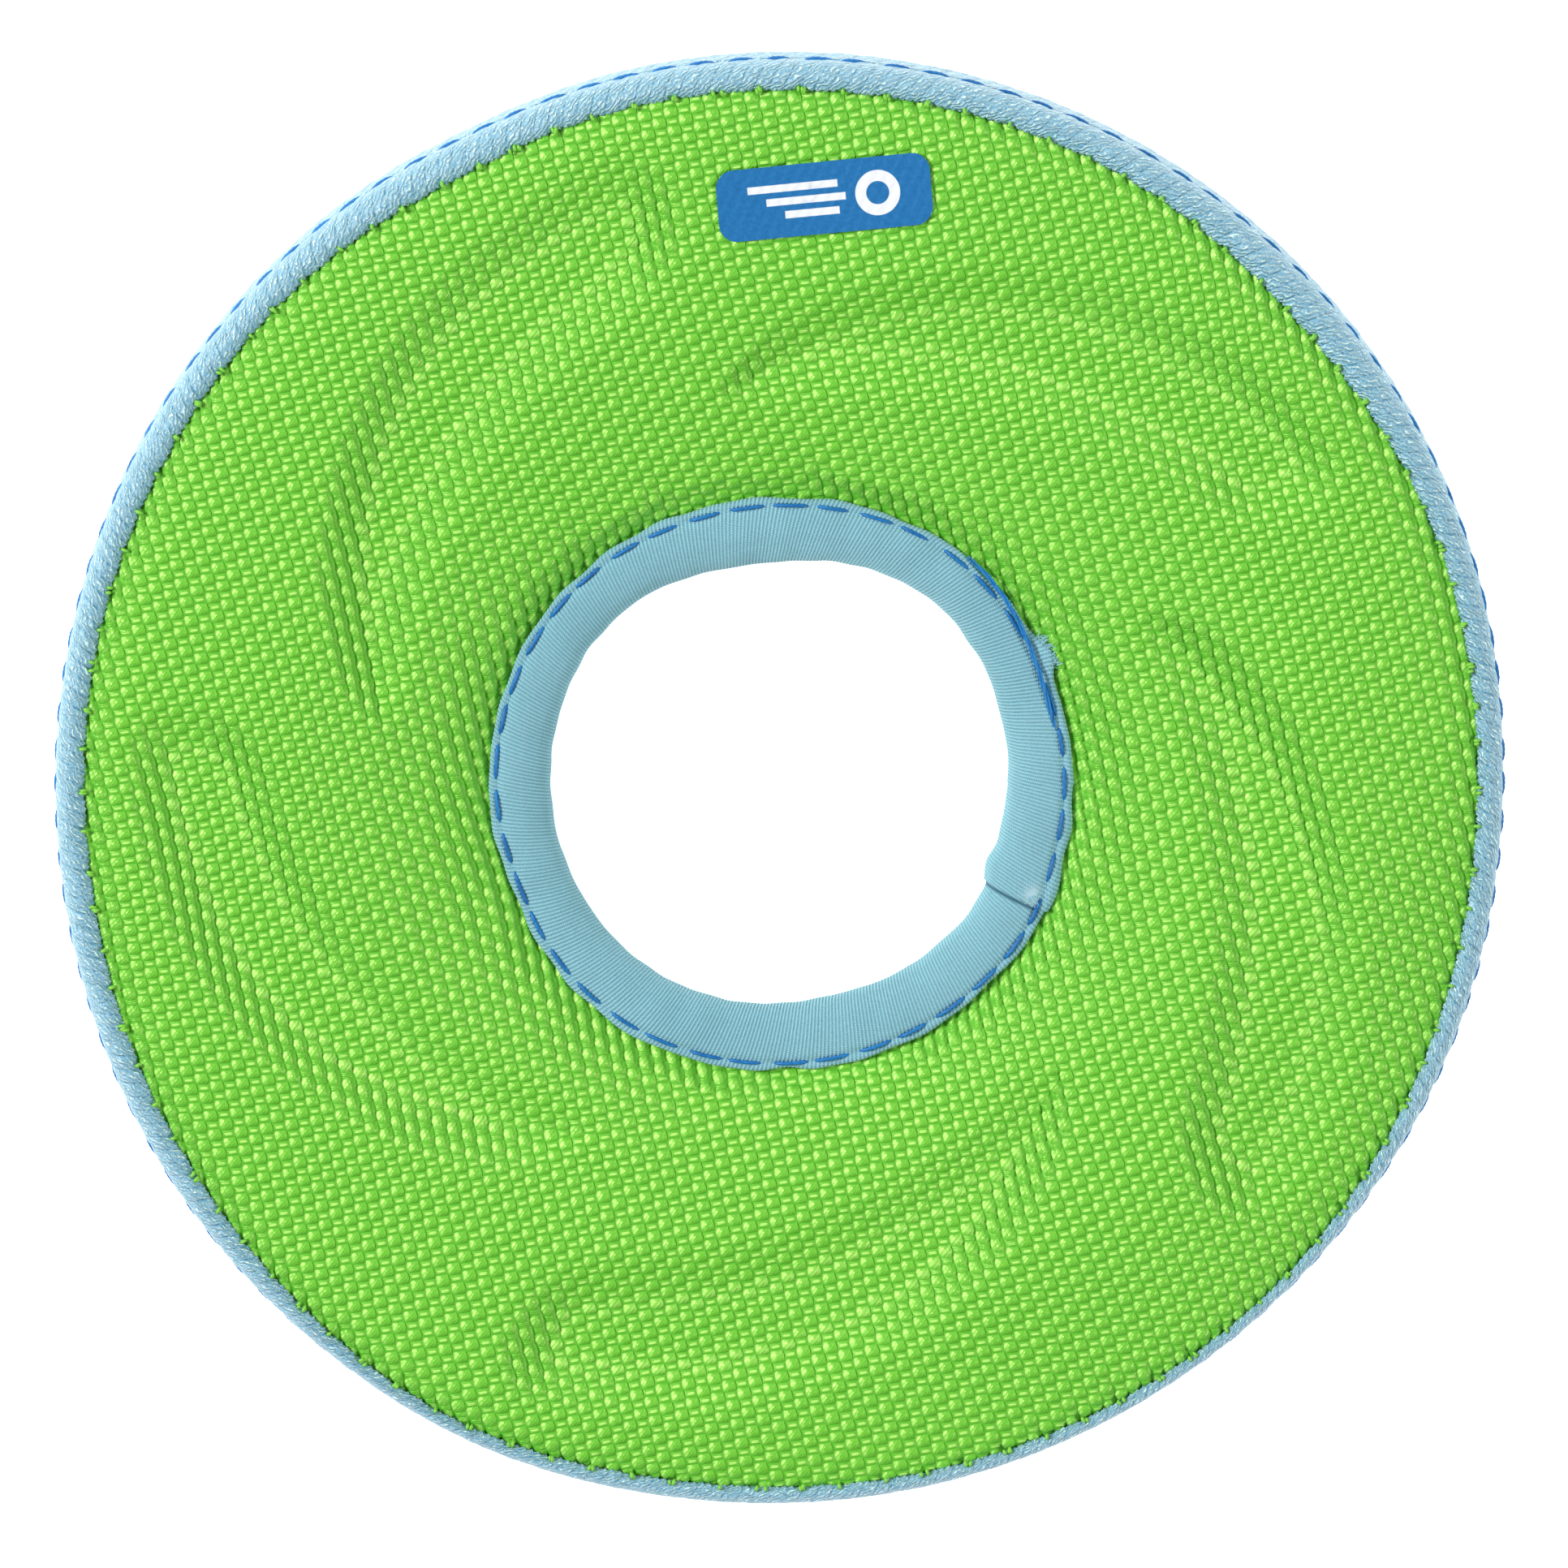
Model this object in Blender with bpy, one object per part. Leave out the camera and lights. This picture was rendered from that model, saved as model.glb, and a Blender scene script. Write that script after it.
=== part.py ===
"""A soft flying ring: a foam core in two woven covers, the upper one pressed into it in five
blades, bound by a webbing band round the rim and a rolled tape round the hole.

Metres, +Z up. The origin is on the ring's axis, in the plane of its flat underside.
"""

import math

import bmesh
import bpy

MM = 0.001
GAP = 0.3 * MM  # clearance between neighbouring pieces

# Driving sizes
RIM_RADIUS = 82.5 * MM
HOLE_RADIUS = 26.0 * MM
BODY_THICKNESS = 12.2 * MM  # over the flat part of both covers
HOLE_THICKNESS = 5.2 * MM  # over the rolled tape
CLOTH = 0.8 * MM  # cover fabric
WEBBING = 0.9 * MM  # wall of the rim band
TAPE = 1.2 * MM  # lip of the folded inner tape
THREAD_RADIUS = 0.2 * MM
GROOVE_DEPTH = 0.5 * MM  # the stitches draw the bands in by this much
GROOVE_HALF_WIDTH = 0.6 * MM

# The five blades, pressed into the upper cover and the foam under it
BLADE_COUNT = 5
BLADE_DEPTH = 1.4 * MM
BLADE_FIRST_ANGLE = 30.0  # degrees, at the blunt end of the first blade
BLADE_EASE = 0.05 * MM  # the hollow is wider than the outline by this much on every side
BLADE_SWEEP = 67.0  # degrees from the blunt end to the tip
BLADE_STEPS = 10
BLADE_CORNER = 2.6  # degrees over which the blunt end's corners are rounded
BLADE_ROUNDING = 0.18  # of the blunt end's width, rounded off at each corner

# Badge on the top cover
BADGE_CENTRE = (5.0 * MM, 67.6 * MM)
BADGE_SIZE = (24.0 * MM, 8.0 * MM)
BADGE_TURN = 5.0  # degrees
BADGE_CORNER = 2.0 * MM
BADGE_THICKNESS = 0.2 * MM

SEGMENTS = 60  # round every turned ring
THREAD_SIDES = 4

# Derived places
MID_PLANE = BODY_THICKNESS / 2
FLAT_HALF = BODY_THICKNESS / 2
HOLE_HALF = HOLE_THICKNESS / 2
COVER_FLAT_FROM = 60.0 * MM
BAND_LIP_RADIUS = RIM_RADIUS - 3.0 * MM
TAPE_LIP_RADIUS = HOLE_RADIUS + 7.2 * MM
LIP = 0.7 * MM  # selvedge of the band, where it lies on the cover
SEAM_ROOM = 2 * THREAD_RADIUS + 2 * GAP  # height for the hidden seam under the band's lip
COVER_EDGE_HALF = FLAT_HALF - LIP - SEAM_ROOM
COVER_EDGE_RADIUS = RIM_RADIUS - WEBBING - 0.4 * MM
COVER_INNER_RADIUS = HOLE_RADIUS + 2.8 * MM
COVER_INNER_HALF = HOLE_HALF - TAPE - GAP - 0.15 * MM
OUTER_STITCH_HEIGHT = 8.6 * MM
INNER_STITCH_RADIUS = TAPE_LIP_RADIUS - 1.2 * MM


def clear_scene():
    for obj in list(bpy.data.objects):
        bpy.data.objects.remove(obj, do_unlink=True)


def material(name, colour, roughness, metallic=0.0):
    made = bpy.data.materials.new(name)
    made.use_nodes = True
    shader = made.node_tree.nodes["Principled BSDF"]
    shader.inputs["Base Color"].default_value = (*colour, 1.0)
    shader.inputs["Roughness"].default_value = roughness
    shader.inputs["Metallic"].default_value = metallic
    return made


def object_from(name, shape, look=None):
    """Makes an object from a bmesh, with every face pointing out."""
    bmesh.ops.recalc_face_normals(shape, faces=shape.faces)
    mesh = bpy.data.meshes.new(name)
    shape.to_mesh(mesh)
    shape.free()
    made = bpy.data.objects.new(name, mesh)
    bpy.context.scene.collection.objects.link(made)
    if look:
        mesh.materials.append(look)
        mesh.shade_smooth()
        mesh.set_sharp_from_angle(angle=math.radians(35))
    return made


def turned(name, outline, look=None):
    """Turns a closed outline of (radius, height above the mid-plane) round the ring's axis."""
    shape = bmesh.new()
    rows = []
    for step in range(SEGMENTS):
        angle = 2 * math.pi * step / SEGMENTS
        rows.append([
            shape.verts.new((r * math.cos(angle), r * math.sin(angle), MID_PLANE + h))
            for r, h in outline
        ])
    count = len(outline)
    for step, row in enumerate(rows):
        following = rows[(step + 1) % SEGMENTS]
        for i in range(count):
            j = (i + 1) % count
            shape.faces.new((row[i], row[j], following[j], following[i]))
    return object_from(name, shape, look)


def prism(name, outline, low, high):
    """Extrudes a flat outline of (x, y) points from one height to another."""
    shape = bmesh.new()
    face = shape.faces.new([shape.verts.new((x, y, low)) for x, y in outline])
    lifted = bmesh.ops.extrude_face_region(shape, geom=[face])["geom"]
    corners = [item for item in lifted if isinstance(item, bmesh.types.BMVert)]
    bmesh.ops.translate(shape, verts=corners, vec=(0, 0, high - low))
    return object_from(name, shape)


def hide(cutter):
    cutter.hide_render = True
    cutter.display_type = "WIRE"


def boolean(target, operation, other):
    modifier = target.modifiers.new(f"{operation.lower()}_{other.name}", "BOOLEAN")
    modifier.operation = operation
    modifier.solver = "EXACT"
    modifier.object = other
    hide(other)


def cover_surface(drop=0.0):
    """Outer face of a cover from the hole to where the rim band hides it, lowered by drop."""
    slope = [
        (TAPE_LIP_RADIUS + 2.8 * MM, 2.9 * MM),
        (COVER_FLAT_FROM - 14.0 * MM, 4.85 * MM),
        (COVER_FLAT_FROM, FLAT_HALF),
    ]
    return [(r, h - drop) for r, h in slope]


def cover_outline():
    """Closed outline of the upper cover: its outer face, then its inner face back again."""
    face = [
        (COVER_INNER_RADIUS, COVER_INNER_HALF),
        (TAPE_LIP_RADIUS - 0.2 * MM, COVER_INNER_HALF),
        *cover_surface(),
        (BAND_LIP_RADIUS - 1.3 * MM, FLAT_HALF),
        (BAND_LIP_RADIUS - 0.3 * MM, COVER_EDGE_HALF),
        (COVER_EDGE_RADIUS, COVER_EDGE_HALF),
    ]
    back = [
        (COVER_EDGE_RADIUS, COVER_EDGE_HALF - CLOTH),
        (BAND_LIP_RADIUS - 1.0 * MM, COVER_EDGE_HALF - CLOTH),
        (BAND_LIP_RADIUS - 1.9 * MM, FLAT_HALF - CLOTH),
        *reversed(cover_surface(CLOTH)),
        (TAPE_LIP_RADIUS + 0.3 * MM, COVER_INNER_HALF - CLOTH),
        (COVER_INNER_RADIUS, COVER_INNER_HALF - CLOTH),
    ]
    return face + back


def slab(name, low, high):
    """A turned ring that follows the cover's slope, between two depths under its outer face."""
    top = [(r, h + high) for r, h in cover_surface()]
    bottom = [(r, h + low) for r, h in cover_surface()]
    top.append((BAND_LIP_RADIUS - 2.0 * MM, FLAT_HALF + high))
    bottom.append((BAND_LIP_RADIUS - 2.0 * MM, FLAT_HALF + low))
    return turned(name, top + bottom[::-1])


def blade_edges(turn):
    """Outer and inner radius of a blade, at an angle in degrees past its blunt end."""
    outer = 72.5 - 0.152 * turn - 0.00353 * turn ** 2
    inner = 61.8 - 0.37 * turn + 0.00195 * turn ** 2
    return outer * MM, inner * MM


def blade_outline(first_angle, grow=0.0):
    """Closed (x, y) outline of one blade, widened on every side by grow."""
    blunt_outer, blunt_inner = blade_edges(0.0)
    rounding = BLADE_ROUNDING * (blunt_outer - blunt_inner)
    blunt_turn = -math.degrees(grow / blunt_inner)
    tip_turn = BLADE_SWEEP + math.degrees(grow / blade_edges(BLADE_SWEEP)[1])
    turns = [BLADE_CORNER] + [BLADE_SWEEP * step / BLADE_STEPS for step in range(1, BLADE_STEPS)]
    outer = [(blunt_turn, blunt_outer - rounding + grow)]
    inner = [(blunt_turn, blunt_inner + rounding - grow)]
    for turn in turns:
        far, near = blade_edges(turn)
        outer.append((turn, far + grow))
        inner.append((turn, near - grow))
    far, near = blade_edges(BLADE_SWEEP)
    outer.append((tip_turn, far + grow))
    inner.append((tip_turn, near - grow))
    points = []
    for turn, radius in outer + inner[::-1]:
        angle = math.radians(first_angle + turn)
        points.append((radius * math.cos(angle), radius * math.sin(angle)))
    return points


def blade_angles():
    return [BLADE_FIRST_ANGLE + 360.0 * i / BLADE_COUNT for i in range(BLADE_COUNT)]


def blade_block(name, first_angle, grow, low, high):
    """One blade's outline, widened by grow, between two depths under the cover's outer face."""
    block = prism(name, blade_outline(first_angle, grow), 0.0, 2 * BODY_THICKNESS)
    boolean(block, "INTERSECT", slab(f"{name}_slab", low, high))
    hide(block)
    return block


def add_top_cover(look):
    """The upper cover, its cloth pressed down in five blades."""
    cover = turned("top_cover", cover_outline(), look)
    for number, angle in enumerate(blade_angles(), start=1):
        pressed = blade_block(f"pressed_{number}", angle, CLOTH, -BLADE_DEPTH - CLOTH, -CLOTH / 2)
        hollow = blade_block(f"hollow_{number}", angle, BLADE_EASE, -BLADE_DEPTH, BODY_THICKNESS / 2)
        boolean(cover, "UNION", pressed)
        boolean(cover, "DIFFERENCE", hollow)


def add_bottom_cover(look):
    turned("bottom_cover", [(r, -h) for r, h in reversed(cover_outline())], look)


def add_foam_core(look):
    """The foam ring between the covers, with a channel for each pressed blade."""
    top = [
        (TAPE_LIP_RADIUS + 2.1 * MM, 1.0 * MM),
        *cover_surface(CLOTH + GAP),
        (BAND_LIP_RADIUS - 2.3 * MM, FLAT_HALF - CLOTH - GAP),
        (BAND_LIP_RADIUS - 1.3 * MM, COVER_EDGE_HALF - CLOTH - GAP),
        (COVER_EDGE_RADIUS, COVER_EDGE_HALF - CLOTH - GAP),
    ]
    core = turned("foam_core", top + [(r, -h) for r, h in reversed(top)], look)
    room = CLOTH + GAP
    for number, angle in enumerate(blade_angles(), start=1):
        channel = blade_block(f"channel_{number}", angle, room, -BLADE_DEPTH - room, BODY_THICKNESS / 2)
        boolean(core, "DIFFERENCE", channel)


def add_outer_binding(look):
    """The webbing band: a C-section whose lips lie on both covers, drawn in where it is stitched."""
    stitch = OUTER_STITCH_HEIGHT - MID_PLANE
    inside = RIM_RADIUS - WEBBING
    outline = [
        (BAND_LIP_RADIUS, -FLAT_HALF + LIP),
        (BAND_LIP_RADIUS, -FLAT_HALF),
        (RIM_RADIUS - 1.5 * MM, -FLAT_HALF),
        (RIM_RADIUS - 0.2 * MM, -FLAT_HALF + 1.2 * MM),
        (RIM_RADIUS, -FLAT_HALF + 2.7 * MM),
        (RIM_RADIUS, stitch - GROOVE_HALF_WIDTH),
        (RIM_RADIUS - GROOVE_DEPTH, stitch),
        (RIM_RADIUS, stitch + GROOVE_HALF_WIDTH),
        (RIM_RADIUS - 0.2 * MM, FLAT_HALF - 1.2 * MM),
        (RIM_RADIUS - 1.5 * MM, FLAT_HALF),
        (BAND_LIP_RADIUS, FLAT_HALF),
        (BAND_LIP_RADIUS, FLAT_HALF - LIP),
        (inside - 0.6 * MM, FLAT_HALF - LIP),
        (inside, FLAT_HALF - LIP - 0.8 * MM),
        (inside, -FLAT_HALF + LIP + 0.8 * MM),
        (inside - 0.6 * MM, -FLAT_HALF + LIP),
    ]
    turned("outer_binding", outline, look)


def add_inner_binding(look):
    """The tape rolled over the hole's edge, drawn in by the stitches on both sides."""
    crest = HOLE_HALF
    top = [
        (TAPE_LIP_RADIUS, crest - TAPE - 0.15 * MM),
        (TAPE_LIP_RADIUS, crest - 0.25 * MM),
        (INNER_STITCH_RADIUS + GROOVE_HALF_WIDTH, crest - 0.1 * MM),
        (INNER_STITCH_RADIUS, crest - 0.1 * MM - GROOVE_DEPTH),
        (INNER_STITCH_RADIUS - GROOVE_HALF_WIDTH, crest - 0.1 * MM),
        (HOLE_RADIUS + 3.6 * MM, crest),
        (HOLE_RADIUS + 1.4 * MM, crest - 0.6 * MM),
        (HOLE_RADIUS + 0.2 * MM, crest - 1.7 * MM),
    ]
    back = [
        (COVER_INNER_RADIUS - 0.4 * MM, 0.6 * MM),
        (COVER_INNER_RADIUS, crest - TAPE - 0.15 * MM),
    ]
    underside = [(r, -h) for r, h in reversed(top)]
    inside = [(r, -h) for r, h in reversed(back)] + back
    turned("inner_binding", top + [(HOLE_RADIUS, 0.0)] + underside + inside, look)


def add_thread(name, radius, height, look):
    """One sewing thread: a thin closed ring, which stands in for its row of stitches."""
    outline = [
        (
            radius + THREAD_RADIUS * math.cos(2 * math.pi * side / THREAD_SIDES),
            height - MID_PLANE + THREAD_RADIUS * math.sin(2 * math.pi * side / THREAD_SIDES),
        )
        for side in range(THREAD_SIDES)
    ]
    turned(name, outline, look)


def add_threads(look):
    seam_half = FLAT_HALF - LIP - SEAM_ROOM / 2
    seam_radius = BAND_LIP_RADIUS + 0.9 * MM
    stitch_half = HOLE_HALF - 0.1 * MM - GROOVE_DEPTH + GAP + THREAD_RADIUS
    stitch_radius = RIM_RADIUS - GROOVE_DEPTH + GAP + THREAD_RADIUS
    add_thread("outer_stitch_thread", stitch_radius, OUTER_STITCH_HEIGHT, look)
    add_thread("top_seam_thread", seam_radius, MID_PLANE + seam_half, look)
    add_thread("bottom_seam_thread", seam_radius, MID_PLANE - seam_half, look)
    add_thread("inner_needle_thread", INNER_STITCH_RADIUS, MID_PLANE + stitch_half, look)
    add_thread("inner_bobbin_thread", INNER_STITCH_RADIUS, MID_PLANE - stitch_half, look)


def rounded_rectangle(centre, size, corner, turn):
    """Points round a rectangle with round corners, turned by an angle in degrees."""
    points = []
    half = (size[0] / 2 - corner, size[1] / 2 - corner)
    for quarter, (sx, sy) in enumerate([(1, 1), (-1, 1), (-1, -1), (1, -1)]):
        for step in range(4):
            angle = math.radians(90 * quarter + 30 * step)
            points.append((sx * half[0] + corner * math.cos(angle), sy * half[1] + corner * math.sin(angle)))
    cosine = math.cos(math.radians(turn))
    sine = math.sin(math.radians(turn))
    return [
        (centre[0] + x * cosine - y * sine, centre[1] + x * sine + y * cosine)
        for x, y in points
    ]


def add_badge(look):
    outline = rounded_rectangle(BADGE_CENTRE, BADGE_SIZE, BADGE_CORNER, BADGE_TURN)
    base = BODY_THICKNESS + GAP
    badge = prism("badge_film", outline, base, base + BADGE_THICKNESS)
    badge.data.materials.append(look)


def main():
    clear_scene()
    nylon = material("green_nylon", (0.22, 0.62, 0.07), 0.6)
    webbing = material("blue_webbing", (0.34, 0.58, 0.76), 0.45)
    tape = material("blue_tape", (0.24, 0.52, 0.64), 0.8)
    thread = material("blue_thread", (0.03, 0.22, 0.58), 0.4)
    foam = material("foam", (0.75, 0.75, 0.72), 0.9)
    film = material("badge_ink", (0.02, 0.17, 0.43), 0.5)
    add_top_cover(nylon)
    add_bottom_cover(nylon)
    add_foam_core(foam)
    add_outer_binding(webbing)
    add_inner_binding(tape)
    add_threads(thread)
    add_badge(film)


main()
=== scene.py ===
"""Looks of the soft flying ring: woven covers, ribbed rim band, rolled hole tape, stitches, badge.

Lengths are in millimetres until a mesh is made. Heights are above the ring's mid-plane, and
angles go round the ring from +X, in degrees unless a name says otherwise.
"""

import math
from typing import NamedTuple

import bmesh
import bpy
import numpy as np
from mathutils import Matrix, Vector


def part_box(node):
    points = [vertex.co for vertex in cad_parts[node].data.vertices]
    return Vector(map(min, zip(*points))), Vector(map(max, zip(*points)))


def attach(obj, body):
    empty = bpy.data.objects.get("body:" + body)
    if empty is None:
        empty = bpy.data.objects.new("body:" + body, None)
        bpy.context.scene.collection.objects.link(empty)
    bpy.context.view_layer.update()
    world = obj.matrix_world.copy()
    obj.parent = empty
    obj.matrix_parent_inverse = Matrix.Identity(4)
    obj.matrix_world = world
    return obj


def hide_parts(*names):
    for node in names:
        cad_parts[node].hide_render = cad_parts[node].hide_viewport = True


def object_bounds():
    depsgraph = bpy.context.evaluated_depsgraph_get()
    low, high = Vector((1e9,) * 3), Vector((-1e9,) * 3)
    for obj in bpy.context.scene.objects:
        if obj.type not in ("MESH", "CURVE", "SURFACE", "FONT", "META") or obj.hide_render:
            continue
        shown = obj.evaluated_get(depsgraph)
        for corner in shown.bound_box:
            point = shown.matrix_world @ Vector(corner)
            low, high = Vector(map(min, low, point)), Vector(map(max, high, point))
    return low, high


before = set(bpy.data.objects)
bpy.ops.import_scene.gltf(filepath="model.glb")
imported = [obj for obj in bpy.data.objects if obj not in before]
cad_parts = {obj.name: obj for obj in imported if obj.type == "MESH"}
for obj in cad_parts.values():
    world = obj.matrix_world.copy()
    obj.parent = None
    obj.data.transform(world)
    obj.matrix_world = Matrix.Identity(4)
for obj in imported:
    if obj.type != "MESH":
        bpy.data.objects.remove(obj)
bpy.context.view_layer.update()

MM = 0.001
BODY = "root"

rim_low, rim_high = (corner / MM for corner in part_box("outer_binding"))
badge_low, badge_high = (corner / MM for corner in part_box("badge_film"))
needle_low, needle_high = (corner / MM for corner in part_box("inner_needle_thread"))
topstitch_low, topstitch_high = (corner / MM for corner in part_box("outer_stitch_thread"))

# Sizes taken from the frame
RIM = rim_high.x
MIDDLE = (rim_low.z + rim_high.z) / 2
TAPE_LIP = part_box("inner_binding")[1].x / MM
COVER_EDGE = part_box("top_cover")[1].x / MM
THREAD = needle_high.z - needle_low.z
NEEDLE_RADIUS = needle_high.x - THREAD / 2 + 0.3  # sewn a little nearer the lip
TOPSTITCH_HEIGHT = (topstitch_low.z + topstitch_high.z) / 2 - MIDDLE

# The sewn construction
HOLE = 26.0
SEAM = RIM - 3.0  # where the band's selvedge lies on the cover
COVER_START = 30.2  # the cover's cut edge, inside the tape
PUCKERS = 106  # stitches of the hidden seam under the band's selvedge

# How the soft ring strays from the true one. Its edges swell and shrink in places, each given
# by its angle, its width in degrees and how far it stands out. The covers follow them.
RIM_STAND = 0.35  # how far the rim stands out all round
OVAL = 0.6  # half the difference between the rim's longest and shortest radius
OVAL_ANGLE = 65.0
RIM_SWELLS = ((0, 14, -0.3), (115, 8, -0.35), (192, 24, -0.4), (246, 12, 0.35))
SELVEDGE_SWELLS = (
    (42, 13, -0.8), (120, 9, -0.4), (187, 12, -0.3), (240, 17, 1.1), (298, 40, 1.4), (320, 18, 0.5),
)
LIP_SWELLS = (
    (57, 18, 0.5), (110, 16, -0.25), (200, 14, -0.6), (240, 20, 0.35), (335, 22, 0.4),
    (345, 10, -0.35),
)
HOLE_SWELLS = (
    (48, 26, 1.05), (98, 20, -0.9), (140, 24, 0.45), (235, 18, 0.2), (282, 15, -0.5),
    (328, 14, 0.35), (339, 4.5, -0.55),
)
EVEN_RADIUS = 50.0  # where they lie true

# The upper side's droop towards the rim, at the lower right
SAG = 2.0
SAG_ANGLE = -30.0
SAG_SPREAD = 44.0  # degrees
SAG_START = 61.0  # the radius it starts at
SAG_RUN = 18.0  # from there to its full depth
SAG_LEVEL = 5.0  # points this high above the mid-plane droop in full, and those below it less

# Plain weave of the covers: columns of warp, crossed by picks of weft
COLUMN = 1.505
PICK = 1.07
COLUMN_DIRECTION = (-0.220, 0.9755)
PICK_DIRECTION = (0.984, 0.177)
YARN_BEND = 0.45  # how far the yarns run off straight
YARN_BEND_LENGTH = 48.0
NUB_LEAN = 0.06  # how far a nub spreads into the next column, in columns
NUB_REACH = 0.62  # half the length of a nub, in picks

# A nub's points by how many thirds of a pick they are from its middle
NUB_SPREAD = np.array([0.10, 0.09, 0.05, 0.07])  # sideways, in columns
NUB_STRETCH = np.array([0.0, 0.06, -0.05, 0.0])  # lengthways, in picks
NUB_RELIEF = np.array([0.09, 0.06, -0.10, 0.03])
GROOVE_RELIEF = -0.12  # of the points between two columns

# Where the cover bends across its columns they stand apart, more with a steeper slope
OPENING_GAIN = 4.4
OPENING_THRESHOLD = 0.25

# Blades pressed into the upper cover. Their edges' radii are curves of the angle past a blade's
# start, in degrees: start + slope * angle + bend * angle squared.
BLADE_COUNT = 5
BLADE_DEPTH = 1.5
BLADE_FIRST = 30.0
BLADE_SWEEP = 67.0
BLADE_OUTER_EDGE = (72.5, -0.152, -0.00353)
BLADE_INNER_EDGE = (61.8, -0.37, 0.00195)
BLADE_WALL = 5.4  # width of the slope at a blade's edge
BLADE_ROUND = 4.6  # radius of the corners at a blade's ends


class Stitch(NamedTuple):
    """One kind of stitch, made in rows that go once round the ring."""

    count: int
    shown: float  # share of the pitch that lies on the cloth
    crown: float  # lift of a stitch's middle
    dive: float  # lift of its ends, which go into the cloth
    thickness: float


TOPSTITCH = Stitch(count=120, shown=0.78, crown=0.22, dive=-0.20, thickness=0.5)
LOCKSTITCH = Stitch(count=41, shown=0.8, crown=0.14, dive=-0.42, thickness=0.42)
SEAM_STITCH = Stitch(count=PUCKERS, shown=0.7, crown=0.0, dive=-0.15, thickness=THREAD)
STITCH_POINTS = 13
LOCKSTITCH_HEIGHT = 2.28


# ---- shape helpers

CURVE_SAMPLES = 800


def swell(angle, centre, width):
    """A smooth bump of height 1 at an angle round the ring."""
    away = (angle - centre + 180.0) % 360.0 - 180.0
    return np.exp(-((away / width) ** 2))


def swell_at(x, centre, width):
    """A smooth bump of height 1 where x is at its centre."""
    return np.exp(-(((x - centre) / width) ** 2))


def ease(x):
    """Rises smoothly from 0 to 1 as x goes from 0 to 1."""
    x = np.clip(x, 0.0, 1.0)
    return x * x * (3.0 - 2.0 * x)


def wave_field(x, y, seed, wavelength, count=12):
    """A smooth random field over a plane, mostly between -1 and 1."""
    rng = np.random.default_rng(seed)
    total = np.zeros(np.broadcast(x, y).shape)
    for _ in range(count):
        heading, phase = rng.uniform(0, 2 * math.pi, 2)
        rate = 2 * math.pi / (wavelength * rng.uniform(0.7, 1.4))
        total += np.cos(rate * (x * math.cos(heading) + y * math.sin(heading)) + phase)
    return total / math.sqrt(2 * count)


def rounded_curve(knots, blur):
    """The function through (x, y) knots, with its corners rounded over a width."""
    grid = np.linspace(knots[0][0], knots[-1][0], CURVE_SAMPLES)
    values = np.interp(grid, *zip(*knots))
    reach = max(1, int(blur / (grid[1] - grid[0])))
    window = np.hanning(2 * reach + 3)
    padded = np.pad(values, reach + 1, mode="edge")
    rounded = np.convolve(padded, window / window.sum(), mode="valid")
    return lambda x: np.interp(x, grid, rounded)


def rounded_path(corners, count, blur):
    """Points evenly along a line of (radius, height) corners, its corners rounded, with its
    length so far and its normal on the left side of travel."""
    corners = np.array(corners, float)
    runs = np.hypot(*np.diff(corners, axis=0).T)
    along = np.concatenate([[0.0], np.cumsum(runs)])
    radius = rounded_curve(list(zip(along, corners[:, 0])), blur)
    height = rounded_curve(list(zip(along, corners[:, 1])), blur)
    s = np.linspace(0.0, along[-1], count)
    points = np.stack([radius(s), height(s)], axis=1)
    step = np.gradient(points, axis=0)
    step /= np.maximum(np.linalg.norm(step, axis=1, keepdims=True), 1e-9)
    normal = np.stack([-step[:, 1], step[:, 0]], axis=1)
    return points, s, normal


def pucker(angle):
    """1 in the middle between two seam stitches, with a sharp dip to 0 at each stitch."""
    return np.abs(np.sin(np.radians(angle) * PUCKERS / 2)) ** 0.7


def wander(angle, swells):
    """How far an edge stands out from its true circle through its swells."""
    return sum(height * swell(angle, centre, width) for centre, width, height in swells)


def rim_drift(angle):
    """How far the rim stands off its true circle: it is a little oval."""
    oval = OVAL * np.cos(2 * np.radians(angle - OVAL_ANGLE))
    return RIM_STAND + oval + wander(angle, RIM_SWELLS)


def seam_drift(angle):
    """How far the band's selvedge lies off its true circle: the band sits low at the lower left."""
    return rim_drift(angle) + wander(angle, SELVEDGE_SWELLS)


def lip_drift(angle):
    """How far the tape's lip lies off its true circle."""
    return wander(angle, LIP_SWELLS)


def hole_drift(angle):
    """How far the hole's edge wanders: it is a little square, and the tape's end bulges into it."""
    return wander(angle, HOLE_SWELLS)


def settled(radius, angle):
    """Moves a point of the true ring to where it lies on the soft, sewn one."""
    stations = (
        (0.0, hole_drift),
        (HOLE, hole_drift),
        (TAPE_LIP, lip_drift),
        (EVEN_RADIUS, lambda a: np.zeros_like(a)),
        (SEAM, seam_drift),
        (RIM, rim_drift),
        (2 * RIM, rim_drift),
    )
    moved = np.array(radius, float)
    for (start, drift), (end, next_drift) in zip(stations, stations[1:]):
        inside = (radius >= start) & (radius < end)
        share = (radius - start) / (end - start)
        shift = drift(angle) * (1 - share) + next_drift(angle) * share
        moved = np.where(inside, radius + shift, moved)
    return moved


def sag(radius, angle):
    """How far the upper side droops."""
    return SAG * swell(angle, SAG_ANGLE, SAG_SPREAD) * ease((radius - SAG_START) / SAG_RUN)


def ring_point(radius, angle, height):
    """(x, y, z) of a point of the true ring, settled."""
    radius, angle, height = np.broadcast_arrays(radius, angle, height)
    r = settled(radius, angle)
    height = height - sag(radius, angle) * np.clip(height / SAG_LEVEL, 0.0, 1.0)
    a = np.radians(angle)
    return np.stack([r * np.cos(a), r * np.sin(a), MIDDLE + height], axis=-1)


# ---- mesh helpers


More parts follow.
